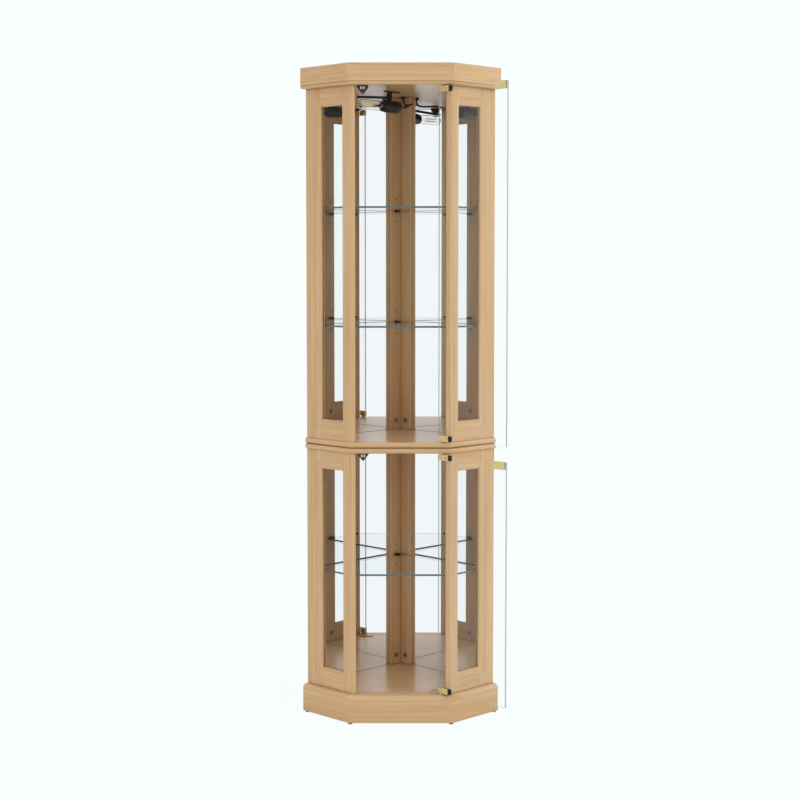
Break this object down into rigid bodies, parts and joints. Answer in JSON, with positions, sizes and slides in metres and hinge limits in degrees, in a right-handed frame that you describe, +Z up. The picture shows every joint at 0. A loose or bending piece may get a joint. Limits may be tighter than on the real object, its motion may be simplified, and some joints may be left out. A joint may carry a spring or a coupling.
{
  "type": "corner display cabinet",
  "caption": "Corner curio cabinet: stacked units, angled glazed sides, mirrored backs, glass shelves, frameless glass doors on clamp hinges, touch latches and a lamp.",
  "frame": {"origin": "on the floor at the corner of the room, where the planes of the two backs meet", "axes": "+X to the right as seen from the front, +Y towards the room's corner, +Z up"},
  "size_m": [0.5564, 0.5517, 1.8],
  "materials": {
    "oak": "satin lacquered light oak",
    "clear_glass": "clear float glass with greenish edges",
    "mirror": "silvered float glass",
    "fibreboard": "plain brown fibreboard",
    "brass": "pale polished brass plate",
    "zinc": "dull cast zinc",
    "pale_plastic": "natural nylon",
    "brown_plastic": "dark brown moulded plastic",
    "black_plastic": "black moulded plastic",
    "black_rubber": "black soft liner",
    "bulb_glass": "thin clear bulb glass"
  },
  "bodies": {
    "cabinet": {"cable_grommet": "black_plastic", "cam_fittings": "zinc", "ceiling": "oak", "crown_front": "oak", "crown_left": "oak", "crown_right": "oak", "glides": "black_plastic", "lamp_bracket": "black_plastic", "lamp_bulb": "bulb_glass", "lamp_lead": "black_plastic", "lamp_socket": "black_plastic", "latch_housings": "brown_plastic", "lower_back_panels": "fibreboard", "lower_corner_post": "oak", "lower_floor": "oak", "lower_front_stile_left": "oak", "lower_front_stile_right": "oak", "lower_mirror_left": "mirror", "lower_mirror_right": "mirror", "lower_outer_stile_left": "oak", "lower_outer_stile_right": "oak", "lower_rails_left": "oak", "lower_rails_right": "oak", "lower_shelf_1": "clear_glass", "lower_side_pane_left": "clear_glass", "lower_side_pane_right": "clear_glass", "lower_top": "oak", "pane_beads": "oak", "pivot_bushes": "pale_plastic", "pivot_plate": "brass", "plinth_front": "oak", "plinth_left": "oak", "plinth_rear": "oak", "plinth_right": "oak", "shelf_clips": "black_plastic", "upper_back_panels": "fibreboard", "upper_corner_post": "oak", "upper_floor": "oak", "upper_front_stile_left": "oak", "upper_front_stile_right": "oak", "upper_mirror_left": "mirror", "upper_mirror_right": "mirror", "upper_outer_stile_left": "oak", "upper_outer_stile_right": "oak", "upper_rails_left": "oak", "upper_rails_right": "oak", "upper_shelf_1": "clear_glass", "upper_shelf_2": "clear_glass", "upper_side_pane_left": "clear_glass", "upper_side_pane_right": "clear_glass"},
    "upper_door": {"upper_door_clamps": "brass", "upper_door_glass": "clear_glass", "upper_door_liners": "black_rubber", "upper_door_strike": "brass"},
    "lower_door": {"lower_door_clamps": "brass", "lower_door_glass": "clear_glass", "lower_door_liners": "black_rubber", "lower_door_strike": "brass"},
    "upper_latch": {"upper_latch_head": "brown_plastic"},
    "lower_latch": {"lower_latch_head": "brown_plastic"}
  },
  "joints": [
    {"name": "upper_door_hinge", "type": "hinge", "parent": "cabinet", "child": "upper_door", "pos_m": [0.1116, -0.3863, 1.2598], "axis": [0, 0, 1], "range_deg": [-135.5, 4]},
    {"name": "lower_door_hinge", "type": "hinge", "parent": "cabinet", "child": "lower_door", "pos_m": [0.1116, -0.3863, 0.413], "axis": [0, 0, 1], "range_deg": [-135.5, 4]},
    {"name": "upper_latch_travel", "type": "slide", "parent": "cabinet", "child": "upper_latch", "axis": [0, 1, 0], "range_m": [0, 0.0045], "stiffness_N_per_m": 300, "springref_m": -0.003},
    {"name": "lower_latch_travel", "type": "slide", "parent": "cabinet", "child": "lower_latch", "axis": [0, 1, 0], "range_m": [0, 0.0045], "stiffness_N_per_m": 300, "springref_m": -0.003}
  ]
}
